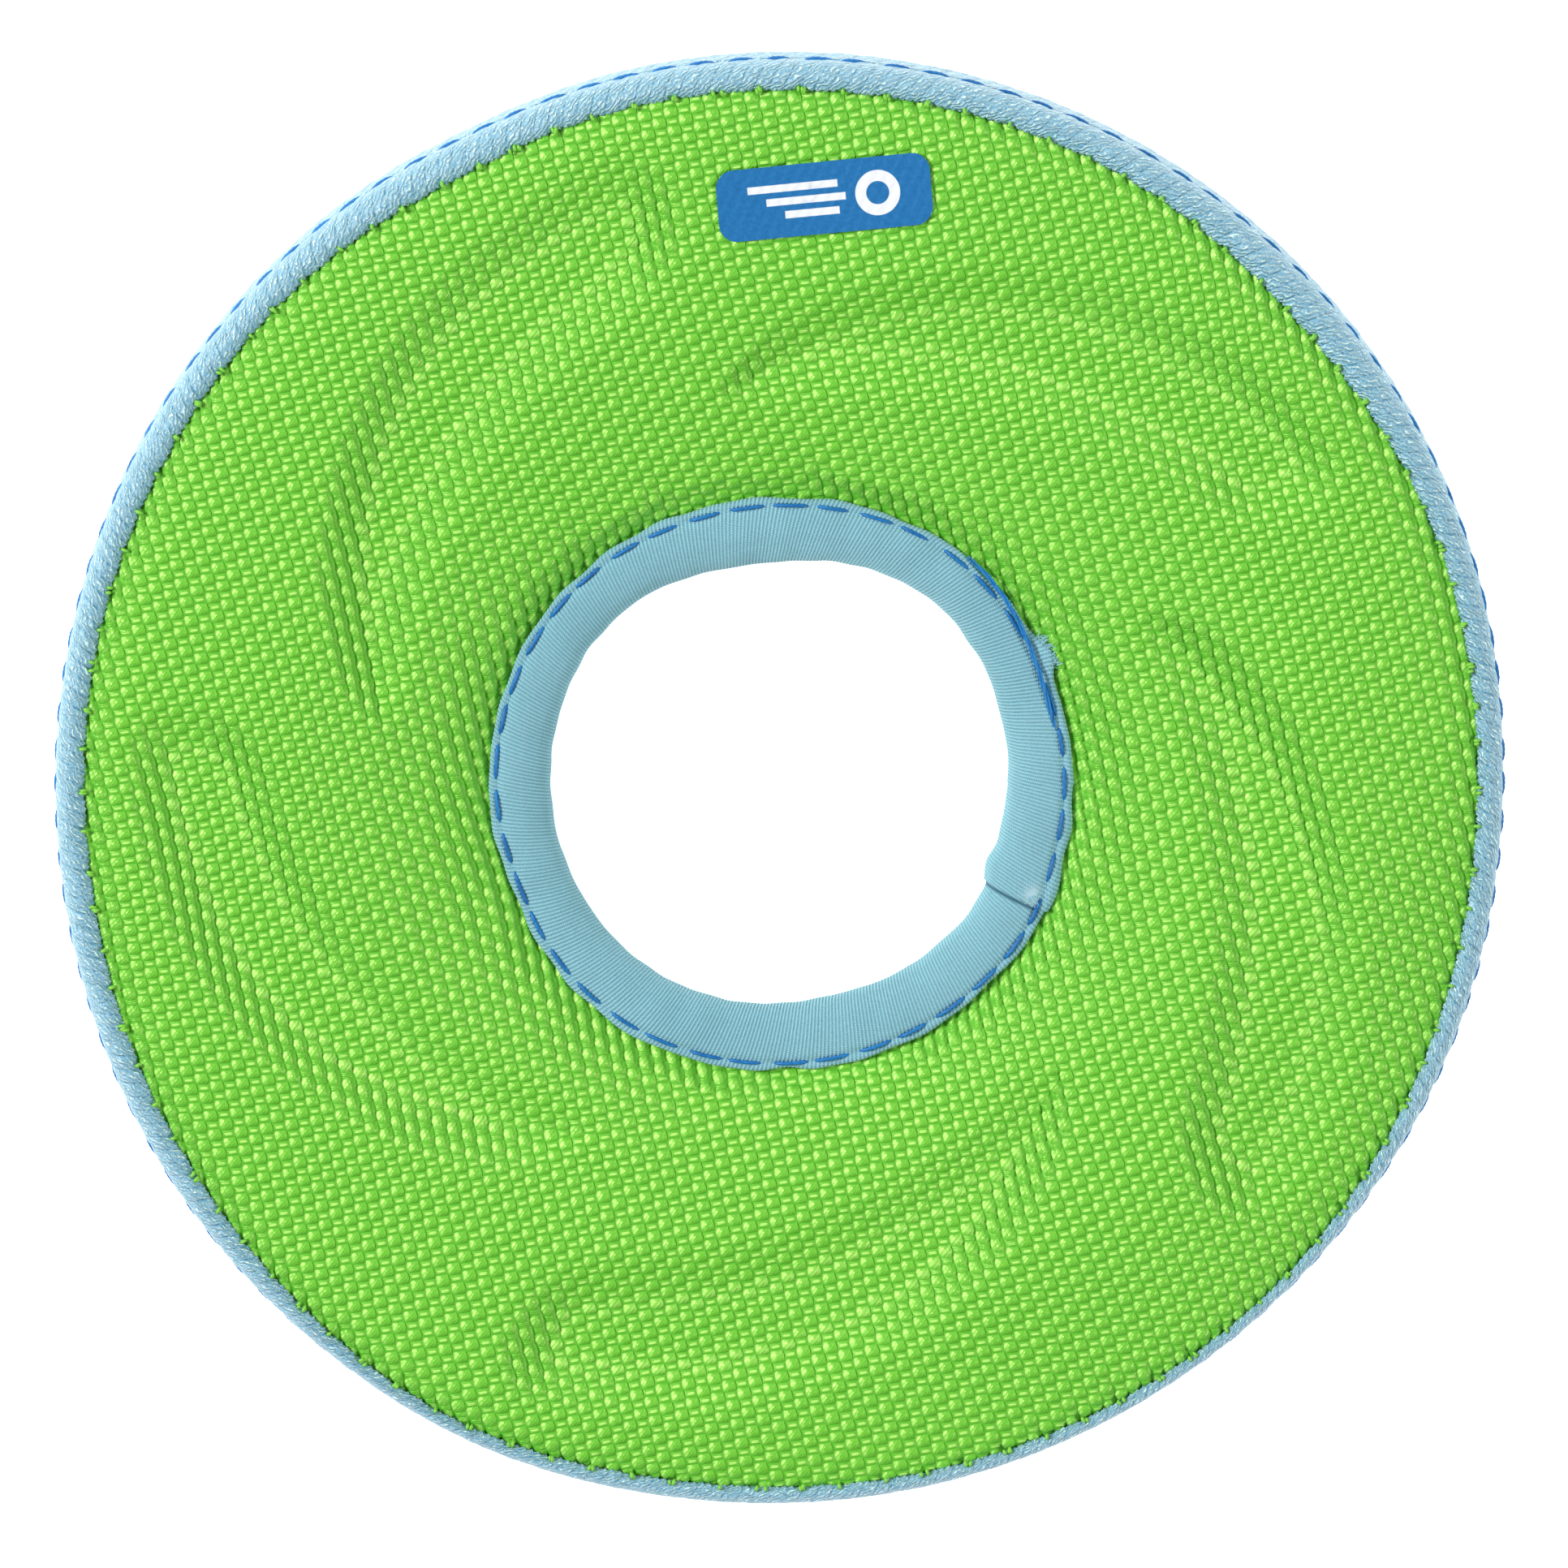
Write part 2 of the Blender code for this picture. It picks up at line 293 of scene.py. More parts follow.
def link(name, mesh, look):
    """Puts a mesh in the scene as a piece that rides on the ring."""
    mesh.name = name
    piece = bpy.data.objects.new(name, mesh)
    bpy.context.scene.collection.objects.link(piece)
    mesh.materials.append(look)
    mesh.shade_smooth()
    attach(piece, BODY)
    return piece


def quad_mesh(points, faces, uv, marks=None):
    """A mesh from points in mm, quads of point numbers, one (u, v) for each quad corner and,
    if given, named values for each point that a material reads."""
    used, renumbered = np.unique(faces, return_inverse=True)
    mesh = bpy.data.meshes.new("quads")
    mesh.from_pydata((points[used] * MM).tolist(), [], renumbered.reshape(-1, 4).tolist())
    layer = mesh.uv_layers.new(name="weave")
    layer.data.foreach_set("uv", uv.reshape(-1).astype(np.float32))
    for mark, values in (marks or {}).items():
        attribute = mesh.attributes.new(mark, "FLOAT", "POINT")
        attribute.data.foreach_set("value", values.reshape(-1)[used].astype(np.float32))
    return mesh


def grid_quads(rows, columns):
    """Corner numbers (row, column) of every quad of a grid of points."""
    i, j = np.meshgrid(np.arange(rows - 1), np.arange(columns - 1), indexing="ij")
    i, j = i.ravel(), j.ravel()
    return np.stack([i, i + 1, i + 1, i], axis=1), np.stack([j, j, j + 1, j + 1], axis=1)


def turned_mesh(points, u, v, marks=None):
    """A closed ring from points[step, place], which wrap both ways; u and v have one more of
    each, so that their last values close the pattern."""
    steps, places = points.shape[:2]
    i, j = grid_quads(steps + 1, places + 1)
    uv = np.stack([u[i, j], v[i, j]], axis=-1)
    faces = (i % steps) * places + j % places
    return quad_mesh(points.reshape(-1, 3), faces, uv, marks)


def face_out(mesh):
    """Turns a closed mesh's faces outward."""
    shape = bmesh.new()
    shape.from_mesh(mesh)
    bmesh.ops.recalc_face_normals(shape, faces=shape.faces)
    shape.to_mesh(mesh)
    shape.free()


def with_back(face, back):
    """face[step, place] with the same values of back after it at each step."""
    return np.concatenate([face, np.broadcast_to(back, (len(face), len(back)))], axis=1)


def strip_mesh(radius, height, angle, s, back_length, turn_length, marks=None):
    """A closed strip round the ring, from radius[step, place] and height. Its first places are
    its face, s their lengths across it, and the rest its hidden back. turn_length is its
    pattern's length once round."""
    steps, places = radius.shape
    back = np.linspace(1.0, 1.0 + back_length, places - len(s) + 1)
    lengths = np.concatenate([s, s[-1] + back])
    across, along = np.meshgrid(lengths, np.arange(steps + 1) / steps * turn_length)
    points = ring_point(radius, angle[:, None], height)
    mesh = turned_mesh(points, along, across, marks)
    face_out(mesh)
    return mesh


def tubes_mesh(paths, thickness, sides=8, ply=0.0):
    """Closed thin tubes along paths[number, point] in mm, narrower at their ends; ply is how
    deep the twist of their plies shows, as a share of their radius."""
    paths = np.asarray(paths, float)
    number, count = paths.shape[:2]
    along = np.gradient(paths, axis=1)
    along /= np.linalg.norm(along, axis=2, keepdims=True)
    side = np.cross(along, np.array([0.0, 0.0, 1.0]))
    side /= np.maximum(np.linalg.norm(side, axis=2, keepdims=True), 1e-9)
    up = np.cross(side, along)
    share = np.linspace(-1.0, 1.0, count)
    girth = thickness / 2 * np.sqrt(np.maximum(1.0 - share ** 8, 0.12))
    turn = 2 * math.pi * np.arange(sides) / sides
    twist = math.pi * count / 4 * share
    lobes = 1.0 + ply * np.cos(2 * (turn[None, :] + twist[:, None]))
    reach = girth[:, None] * lobes
    points = (
        paths[:, :, None, :]
        + (reach * np.cos(turn))[None, :, :, None] * side[:, :, None, :]
        + (reach * np.sin(turn))[None, :, :, None] * up[:, :, None, :]
    )
    i, j = grid_quads(count, sides + 1)
    body = (i * sides + j % sides)[None] + (np.arange(number) * count * sides)[:, None, None]
    ends = []
    for k in range(number):
        first = k * count * sides
        last = first + (count - 1) * sides
        ends.append([first + s for s in reversed(range(sides))])
        ends.append([last + s for s in range(sides)])
    mesh = bpy.data.meshes.new("tubes")
    mesh.from_pydata((points.reshape(-1, 3) * MM).tolist(), [], body.reshape(-1, 4).tolist() + ends)
    face_out(mesh)
    return mesh


# ---- material helpers


class Field:
    """A value that varies over a surface; arithmetic on it adds Math nodes."""

    def __init__(self, tree, socket):
        self.tree = tree
        self.socket = socket

    def math(self, operation, *others, clamp=False):
        node = self.tree.nodes.new("ShaderNodeMath")
        node.operation = operation
        node.use_clamp = clamp
        for place, value in zip(node.inputs, (self, *others)):
            if isinstance(value, Field):
                self.tree.links.new(value.socket, place)
            else:
                place.default_value = value
        return Field(self.tree, node.outputs[0])

    def __add__(self, other):
        return self.math("ADD", other)

    __radd__ = __add__

    def __sub__(self, other):
        return self.math("SUBTRACT", other)

    def __rsub__(self, other):
        return self.math("MULTIPLY_ADD", -1.0, other)

    def __mul__(self, other):
        return self.math("MULTIPLY", other)

    __rmul__ = __mul__

    def __truediv__(self, other):
        return self.math("DIVIDE", other)

    def __mod__(self, other):
        return self.math("FLOORED_MODULO", other)

    def __pow__(self, other):
        return self.math("POWER", other)

    def __abs__(self):
        return self.math("ABSOLUTE")

    def floor(self):
        return self.math("FLOOR")

    def wave(self, period):
        """Swings between -1 and 1, once in each period."""
        return (self * (2 * math.pi / period)).math("COSINE")

    def larger(self, other):
        return self.math("MAXIMUM", other)

    def smaller(self, other):
        return self.math("MINIMUM", other)

    def clipped(self):
        return self.math("ADD", 0.0, clamp=True)

    def step_up(self, start, end):
        """Rises smoothly from 0 at start to 1 at end."""
        node = self.tree.nodes.new("ShaderNodeMapRange")
        node.interpolation_type = "SMOOTHSTEP"
        self.tree.links.new(self.socket, node.inputs["Value"])
        node.inputs["From Min"].default_value = start
        node.inputs["From Max"].default_value = end
        return Field(self.tree, node.outputs["Result"])


class Look:
    """One node material on a Principled shader."""

    def __init__(self, name, **sockets):
        self.material = bpy.data.materials.new(name)
        self.material.use_nodes = True
        self.tree = self.material.node_tree
        self.shader = self.tree.nodes["Principled BSDF"]
        for socket, value in sockets.items():
            self.shader.inputs[socket.replace("_", " ")].default_value = value

    def weave_place(self):
        """The two weave coordinates, counted in yarns or millimetres as the mesh sets them."""
        pin = self.tree.nodes.new("ShaderNodeUVMap")
        pin.uv_map = "weave"
        split = self.tree.nodes.new("ShaderNodeSeparateXYZ")
        self.tree.links.new(pin.outputs["UV"], split.inputs[0])
        return Field(self.tree, split.outputs["X"]), Field(self.tree, split.outputs["Y"])

    def mark(self, name):
        """A named value that the mesh carries for each point; 0 where it has none."""
        node = self.tree.nodes.new("ShaderNodeAttribute")
        node.attribute_name = name
        return Field(self.tree, node.outputs["Fac"])

    def place(self):
        """The point on the object, in metres."""
        return self.tree.nodes.new("ShaderNodeTexCoord").outputs["Object"]

    def joined(self, x, y):
        node = self.tree.nodes.new("ShaderNodeCombineXYZ")
        self.tree.links.new(x.socket, node.inputs["X"])
        self.tree.links.new(y.socket, node.inputs["Y"])
        return node.outputs["Vector"]

    def noise(self, vector, scale, detail=2.0, stretch=(1.0, 1.0, 1.0)):
        """Smooth random variation, 0 to 1."""
        spread = self.tree.nodes.new("ShaderNodeMapping")
        spread.inputs["Scale"].default_value = stretch
        self.tree.links.new(vector, spread.inputs["Vector"])
        node = self.tree.nodes.new("ShaderNodeTexNoise")
        node.inputs["Scale"].default_value = scale
        node.inputs["Detail"].default_value = detail
        self.tree.links.new(spread.outputs["Vector"], node.inputs["Vector"])
        return Field(self.tree, node.outputs["Fac"])

    def chance(self, x, y):
        """A random value, 0 to 1, for each pair of whole numbers."""
        node = self.tree.nodes.new("ShaderNodeTexWhiteNoise")
        node.noise_dimensions = "2D"
        self.tree.links.new(self.joined(x, y), node.inputs["Vector"])
        return Field(self.tree, node.outputs["Value"])

    def blend(self, share, first, second):
        """A colour between two, each a colour or another blend's socket. A Mix node's colours
        are its inputs 6 and 7 and its output 2."""
        node = self.tree.nodes.new("ShaderNodeMix")
        node.data_type = "RGBA"
        self.tree.links.new(share.clipped().socket, node.inputs["Factor"])
        for place, colour in ((node.inputs[6], first), (node.inputs[7], second)):
            if isinstance(colour, tuple):
                place.default_value = (*colour, 1.0)
            else:
                self.tree.links.new(colour, place)
        return node.outputs[2]

    def finish(self, colour, roughness, height, depth):
        """Links the colour, the roughness and a bump whose height of 1 stands for depth, in mm."""
        self.tree.links.new(colour, self.shader.inputs["Base Color"])
        self.tree.links.new(roughness.clipped().socket, self.shader.inputs["Roughness"])
        bump = self.tree.nodes.new("ShaderNodeBump")
        bump.inputs["Distance"].default_value = depth * MM
        self.tree.links.new(height.socket, bump.inputs["Height"])
        self.tree.links.new(bump.outputs["Normal"], self.shader.inputs["Normal"])
        return self.material


# ---- materials


def nylon_look():
    """Coarse green plain weave: each yarn is a bundle of glossy filaments."""
    look = Look("green_nylon", Specular_IOR_Level=1.0, Specular_Tint=(0.90, 1.0, 0.42, 1.0))
    u, v = look.weave_place()
    u = u + u.wave(2.0) * v.wave(2.0) * NUB_LEAN
    column = u.floor()
    across = u - column  # 0 at the left of a column, 1 at its right
    along = (v - column % 2.0 + 1.0) % 2.0 - 1.0  # 0 in the middle of a nub, in picks
    away = abs(along)
    tone = look.chance(column, (v + 0.5).floor())
    opened = look.mark("opened")
    foot = look.mark("foot")

    # Warp nubs and the weft between them, each 1 at its crown and 0 at its edge
    ends = (1.0 - (away / (opened * 0.35 + NUB_REACH)) ** 3.0).larger(0.0)
    left_flank = (across / 0.44).smaller(1.0)
    groove = 1.0 - across.step_up(0.62, 0.92) * opened
    warp = left_flank * across.step_up(1.0, 0.90) * ends * groove
    weft_reach = (1.0 - away) / (1.0 - NUB_REACH)
    weft = (1.0 - weft_reach ** 2.0).larger(0.0) * (1.0 - abs(across * 2.0 - 1.0) ** 5.0)
    yarn = warp.larger(weft * 0.7)

    # The yarns' own filaments and fuzz
    slanted = u * (COLUMN * 0.7) - v * (PICK * 0.7)
    filaments = (v * PICK + u * 0.25).wave(0.21)
    fibres = slanted.wave(0.30) * warp + filaments * weft
    fine = look.noise(look.place(), 5200.0, 2.0)
    height = yarn + fibres * 0.08 + fine * 0.07

    # Green, with painted shade between the yarns and painted highlights on the nubs
    patch = look.noise(look.place(), 26.0, 3.0)
    shade = yarn * 1.1 + (tone - 0.5) * 0.25 + (patch - 0.5) * 0.3 + (fine - 0.5) * 0.25
    # Painted shade: the blend's dark end falls between the yarns and where the columns stand apart
    dye_with_painted_shade = look.blend(shade - opened * 0.45, (0.088, 0.475, 0.020), (0.155, 0.58, 0.040))
    # Painted highlight: a pale crescent on each nub's left flank
    crescent_highlight = across.step_up(0.02, 0.13) * across.step_up(0.44, 0.22)
    crescent_highlight = crescent_highlight * along.step_up(-0.60, 0.05) * along.step_up(0.64, 0.46)
    # Painted highlight along each weft's crown, less where the columns stand apart
    crown = ((weft - 0.78) * 5.0 + filaments * 0.2) * (1.0 - opened * 1.5).larger(0.0)
    # Painted highlight streaks, slanted like the filaments
    highlight_streaks = 0.65 + slanted.wave(0.42) * 0.35
    # Every painted highlight: weft crowns, crescents, and nubs at a blade wall's foot and on opened
    # columns
    pale = crown.larger(crescent_highlight * highlight_streaks * 0.95) + (foot * 0.7 + opened * 0.3) * warp * highlight_streaks
    colour = look.blend(pale, dye_with_painted_shade, (0.52, 0.95, 0.20))
    roughness = 0.33 + (fine - 0.5) * 0.2 + (1.0 - yarn) * 0.2
    return look.finish(colour, roughness, height, 0.17)


def webbing_look():
    """Glossy blue webbing: pillows across the band and filaments running over them, with painted
    glints.
    """
    look = Look("blue_webbing", Specular_IOR_Level=1.0)
    u, v = look.weave_place()
    place = look.joined(u, v)
    from_pillow = abs((u / RIB + v * (BAND_SLANT / RIB)) % 1.0 * 2.0 - 1.0)
    gap = from_pillow.step_up(0.78, 1.0)
    along = u * 0.80 - v * 0.60
    across = u * 0.60 + v * 0.80
    drift = look.noise(place, 0.9, 1.0)
    filaments = (across + drift * 1.2).wave(0.50)
    dashes = look.noise(look.joined(along, across), 1.0, 2.0, stretch=(1.5, 2.2, 1.0))
    glints = filaments.step_up(0.0, 0.7) * dashes.step_up(0.48, 0.54) * (1.0 - gap * 0.7)
    fine = look.noise(place, 5.0, 2.0)
    height = filaments * 0.25 + glints * 0.7 + fine * 0.4 - gap * 0.3
    # Painted highlights where the filaments glint, and painted shade in the gaps between pillows
    shade = 0.30 + glints * 0.95 + filaments * 0.12 + (fine - 0.5) * 0.9 - gap * 0.2
    colour = look.blend(shade, (0.070, 0.31, 0.50), (0.68, 0.98, 1.0))
    roughness = 0.36 + (fine - 0.5) * 0.3 - glints * 0.08
    return look.finish(colour, roughness, height, 0.22)


def tape_look():
    """Matte blue tape, finely woven, its ribs running from lip to lip."""
    look = Look("blue_tape", Specular_IOR_Level=0.3, Sheen_Weight=0.25, Sheen_Roughness=0.5)
    u, v = look.weave_place()
    rib = (u - v * TAPE_SLANT).wave(1.0)
    fold = look.mark("fold")
    worn = look.mark("worn")
    grain = (v + u.floor() * 0.13).wave(0.26)
    fuzz = look.noise(look.place(), 3800.0, 2.0)
    patch = look.noise(look.place(), 60.0, 3.0)
    height = rib * 0.5 + grain * (0.5 + rib * 0.3) * 0.5 + fuzz * 0.5
    # Darker between the ribs: painted shade; the grain, fuzz and patches are the tape's own tone
    shade = 0.5 + rib * 0.42 + grain * 0.16 + (fuzz - 0.5) * 0.5 + (patch - 0.5) * 0.5
    dye_with_painted_shade = look.blend(shade, (0.135, 0.35, 0.43), (0.34, 0.66, 0.76))
    faded = look.blend(worn * (0.4 + fuzz), dye_with_painted_shade, (0.62, 0.80, 0.86))
    # Painted shadow: a dark line along the folded end's edge, where it steps down onto the tape's
    # start
    colour = look.blend(fold, faded, (0.02, 0.12, 0.19))
    roughness = 0.85 + (fuzz - 0.5) * 0.2
    return look.finish(colour, roughness, height, 0.09)


def thread_look(name, dark, light):
    """Bonded filament thread with a slight gloss."""
    look = Look(name, Specular_IOR_Level=0.4)
    fibres = look.noise(look.place(), 2600.0, 2.0)
    lot = look.noise(look.place(), 180.0, 2.0)
    colour = look.blend(0.5 + (fibres - 0.5) * 1.2 + (lot - 0.5) * 0.8, dark, light)
    return look.finish(colour, 0.36 + fibres * 0.2, fibres, 0.05)


def foam_look():
    """Closed-cell foam."""
    look = Look("closed_cell_foam", Specular_IOR_Level=0.3)
    cells = look.tree.nodes.new("ShaderNodeTexVoronoi")
    cells.inputs["Scale"].default_value = 1600.0
    look.tree.links.new(look.place(), cells.inputs["Vector"])
    depth = Field(look.tree, cells.outputs["Distance"])
    patch = look.noise(look.place(), 90.0)
    # Darker in the dips between the cells: painted shade
    colour = look.blend(0.6 - depth * 0.5 + patch * 0.3, (0.55, 0.55, 0.52), (0.82, 0.82, 0.79))
    return look.finish(colour, 0.85 + (patch - 0.5) * 0.2, 1.0 - depth, 0.25)


def badge_look():
    """Transfer print: a plain white ring with three bars behind it, on blue."""
    look = Look("badge_ink", Specular_IOR_Level=0.45)
    x, y = look.weave_place()
    ring = abs(((x - 6.0) ** 2.0 + y ** 2.0) ** 0.5 - 1.9)
    marks = ring.step_up(0.66, 0.56)
    for row, (start, end) in enumerate(((-8.5, 1.6), (-6.5, 2.4), (-4.5, 1.6))):
        across = abs(y - (1.5 - 1.5 * row))
        inside = x.step_up(start - 0.05, start + 0.05) * x.step_up(end + 0.05, end - 0.05)
        marks = marks.larger(across.step_up(0.46, 0.36) * inside)
    grain = look.noise(look.place(), 2400.0, 2.0)
    worn = look.noise(look.place(), 420.0, 3.0)
    ink = look.blend(grain, (0.006, 0.125, 0.36), (0.014, 0.19, 0.47))
    colour = look.blend(marks - (worn - 0.62).larger(0.0) * 2.0, ink, (0.83, 0.86, 0.90))
    return look.finish(colour, 0.42 + (grain - 0.5) * 0.25, grain, 0.05)


# ---- covers

# Height of a cover's mean surface above the mid-plane, by radius
cover_profile = rounded_curve(
    [
        (COVER_START, 0.95), (32.7, 0.95), (33.5, 1.4), (36.0, 3.05), (40.0, 4.0),
        (46.0, 4.9), (54.0, 5.75), (60.0, 6.1), (73.0, 6.15), (76.0, 6.0), (77.8, 5.75),
        (SEAM - 0.3, 5.35), (SEAM + 0.5, 4.6), (COVER_EDGE, 4.35),
    ],
    1.0,
)


def blade_inset(radius, angle):
    """How far inside the nearest blade's edge a point is, in wall widths from the wall's top."""
    best = np.full_like(radius, -9.0)
    for number in range(BLADE_COUNT):
        start_angle = BLADE_FIRST + number * 360.0 / BLADE_COUNT
        turn = (angle - start_angle + 60.0) % 360.0 - 60.0  # past the blade's start
        outer, inner = (
            start + slope * turn + bend * turn ** 2
            for start, slope, bend in (BLADE_OUTER_EDGE, BLADE_INNER_EDGE)
        )
        reach = np.radians(turn) * radius
        length = math.radians(BLADE_SWEEP) * radius
        from_side = np.minimum(outer - radius, radius - inner)
        from_end = np.minimum(reach, length - reach)
        cut_side = np.maximum(BLADE_ROUND - from_side, 0.0)
        cut_end = np.maximum(BLADE_ROUND - from_end, 0.0)
        inset = BLADE_ROUND - np.hypot(cut_side, cut_end)
        best = np.maximum(best, inset / BLADE_WALL + 0.5)
    return best


# Share of a blade's depth, by how many wall widths inside its edge a point is
blade_wall = rounded_curve([(-1.0, 0.0), (0.0, 0.0), (1.0, 1.0), (2.0, 1.0)], 0.35)


def weave_grid():
    """The weave's points before it is laid over the ring: where each lies in the plane, its
    weave coordinates, its relief, whether it is between two columns, and whether it is on the
    weft. Each crossing of a column and a pick is three points by three."""
    columns = int(1.04 * RIM / COLUMN) + 2
    picks = int(1.04 * RIM / PICK) + 2
    column_thirds = np.arange(-3 * columns, 3 * columns + 1)
    pick_thirds = np.arange(-3 * picks, 3 * picks + 1)
    u, v = np.meshgrid(column_thirds / 3.0, pick_thirds / 3.0, indexing="ij")
    column = np.floor(u)
    between = np.broadcast_to(column_thirds[:, None] % 3 == 0, u.shape)
    phase = (v - column % 2 + 1.0) % 2.0 - 1.0
    away = np.rint(np.abs(phase) * 3).astype(int)
    side = np.sign(u - column - 0.5)
    lean = NUB_LEAN * np.cos(math.pi * v) * np.cos(math.pi * u)
    u = np.where(between, u - lean, u + side * NUB_SPREAD[away])
    v = np.where(between, v, v + np.sign(phase) * NUB_STRETCH[away])
    tilt = 0.05 * side * (away < 2)
    relief = np.where(between, GROOVE_RELIEF, NUB_RELIEF[away] + tilt)
    relief = relief + np.random.default_rng(4).normal(0.0, 0.018, relief.shape)
    flat_x = u * COLUMN
    flat_y = v * PICK
    x = flat_x * PICK_DIRECTION[0] + flat_y * COLUMN_DIRECTION[0]
    y = flat_x * PICK_DIRECTION[1] + flat_y * COLUMN_DIRECTION[1]
    x = x + YARN_BEND * wave_field(flat_x, flat_y, 11, YARN_BEND_LENGTH)
    y = y + YARN_BEND * wave_field(flat_x, flat_y, 13, YARN_BEND_LENGTH)
    x = x + 0.06 * wave_field(flat_x, 0 * flat_y, 12, 5.0)  # uneven columns
    y = y + 0.07 * wave_field(0 * flat_x, flat_y, 14, 4.0)  # uneven picks
    return x, y, u, v, relief, between, away >= 2


def cover_surface(radius, angle, blades):
    """Height of a cover's mean surface above the mid-plane, before the weave's own relief."""
    height = cover_profile(radius)
    if blades:
        height = height - BLADE_DEPTH * blade_wall(blade_inset(radius, angle))
    near_seam = swell_at(np.minimum(radius, SEAM), SEAM, 2.2) * (radius < SEAM + 0.3)
    near_tape = swell_at(radius, TAPE_LIP + 2.4, 2.2)
    a = np.radians(angle)
    x, y = radius * np.cos(a), radius * np.sin(a)
    height = height + 0.16 * (pucker(angle) - 0.6) * near_seam
    height = height + 0.16 * wave_field(x, y, 21, 7.5) * near_tape
    return height + 0.10 * wave_field(x, y, 22, 30.0)


def opened_columns(radius, angle, blades):
    """How far the columns stand apart where the cover bends across them, 0 to 1."""
    reach = 0.4
    a = np.radians(angle)
    x, y = radius * np.cos(a), radius * np.sin(a)
    ends = []
    for side in (-1, 1):
        near_x = x + side * reach * PICK_DIRECTION[0]
        near_y = y + side * reach * PICK_DIRECTION[1]
        near_angle = np.degrees(np.arctan2(near_y, near_x))
        near = np.hypot(near_x, near_y)
        ends.append(cover_surface(near, near_angle, blades) - blades * sag(near, near_angle))
    slope = np.abs(ends[1] - ends[0]) / (2 * reach)
    return np.clip(OPENING_GAIN * slope - OPENING_THRESHOLD, 0.0, 1.0)


def woven_cover(name, up, look):
    """One cover, over the foam (up = 1) or under it (up = -1)."""
    x, y, u, v, relief, between, on_weft = weave_grid()
    radius = np.hypot(x, y)
    inside = (radius > COVER_START) & (radius < COVER_EDGE)
    angle = np.degrees(np.arctan2(y, x))
    radius = np.clip(radius, COVER_START, COVER_EDGE)
    height = cover_surface(radius, angle, blades=up > 0)
    shown = ease((SEAM + 0.6 - radius) / 0.8) * ease((radius - TAPE_LIP + 1.0) / 1.5)
    opened = opened_columns(radius, angle, blades=up > 0)
    foot = swell_at(blade_inset(radius, angle), 1.0, 0.14) * (up > 0)  # of a blade's wall
    relief = np.where(between, relief - 0.34 * opened, relief + (0.06 + 0.10 * on_weft) * opened)
    relief = np.where(between | on_weft, relief, relief + 0.12 * foot)
    height = height + relief * (0.35 + 0.65 * shown)
    points = ring_point(radius, angle, up * height)
    rows, columns = x.shape
    i, j = grid_quads(rows, columns)
    kept = inside[i, j].any(axis=1)
    i, j = i[kept], j[kept]
    if up < 0:
        i, j = i[:, ::-1], j[:, ::-1]
    uv = np.stack([u[i, j], v[i, j]], axis=-1)
    # Besides the relief, the nylon paints shade where columns stand apart and highlights by these
    # marks
    marks = {"opened": opened * shown, "foot": foot}
    mesh = quad_mesh(points.reshape(-1, 3), i * columns + j, uv, marks)
    return link(name, mesh, look)


# ---- foam

FOAM_INNER = 34.5
FOAM_OUTER = 78.5
FOAM_ROOM = 0.75  # from the covers' mean surface down to the foam
FOAM_STEPS = 360  # round the ring
FOAM_PLACES = 50  # from its inner edge to its outer one


def foam_ring(look):
    """The foam inside the covers: a flat ring with a channel under each blade."""
    out = np.linspace(FOAM_INNER, FOAM_OUTER, FOAM_PLACES)
    angle, radius = np.meshgrid(np.arange(FOAM_STEPS) * 360.0 / FOAM_STEPS, out, indexing="ij")
    top = cover_surface(radius, angle, blades=True) - FOAM_ROOM
    bottom = FOAM_ROOM - cover_surface(radius, angle, blades=False)
    points = np.concatenate(
        [ring_point(radius, angle, top), ring_point(radius, angle, bottom)[:, ::-1]], axis=1
    )
    v, u = np.meshgrid(np.arange(2 * FOAM_PLACES + 1), np.arange(FOAM_STEPS + 1))
    mesh = turned_mesh(points, u, v)
    face_out(mesh)
    return link("foam_ring", mesh, look)


# ---- rim band

RIB = 1.75  # along the rim
RIBS = round(2 * math.pi * RIM / RIB)
RIB_STEPS = 6
BAND_SLANT = 0.45  # how far a rib runs along the rim for each mm across the band
TOPSTITCH_SWELLS = ((5, 30, 0.9), (95, 45, -1.0), (215, 40, 0.5))

# The band's section, as (radius, height), from selvedge to selvedge outside and back inside
BAND_FACE = [
    (SEAM - 0.05, 5.0), (SEAM, 5.6), (SEAM + 0.9, 6.05), (SEAM + 1.7, 6.0), (SEAM + 2.65, 5.2),
    (RIM, 3.9), (RIM, -3.6), (SEAM + 2.65, -5.1), (SEAM + 1.7, -5.95), (SEAM + 0.6, -6.1),
    (SEAM, -5.75), (SEAM - 0.05, -5.0),
]
BAND_BACK = [
    (SEAM + 0.3, -5.3), (SEAM + 1.9, -5.0), (RIM - 0.8, -3.4),
    (RIM - 0.8, 3.4), (SEAM + 1.9, 5.0), (SEAM + 0.3, 5.3),
]
BAND_BACK_LENGTH = 13.0


def stitch_line(angle):
    """Height of the topstitch above the mid-plane: it wanders a little round the rim."""
    return TOPSTITCH_HEIGHT + wander(angle, TOPSTITCH_SWELLS)


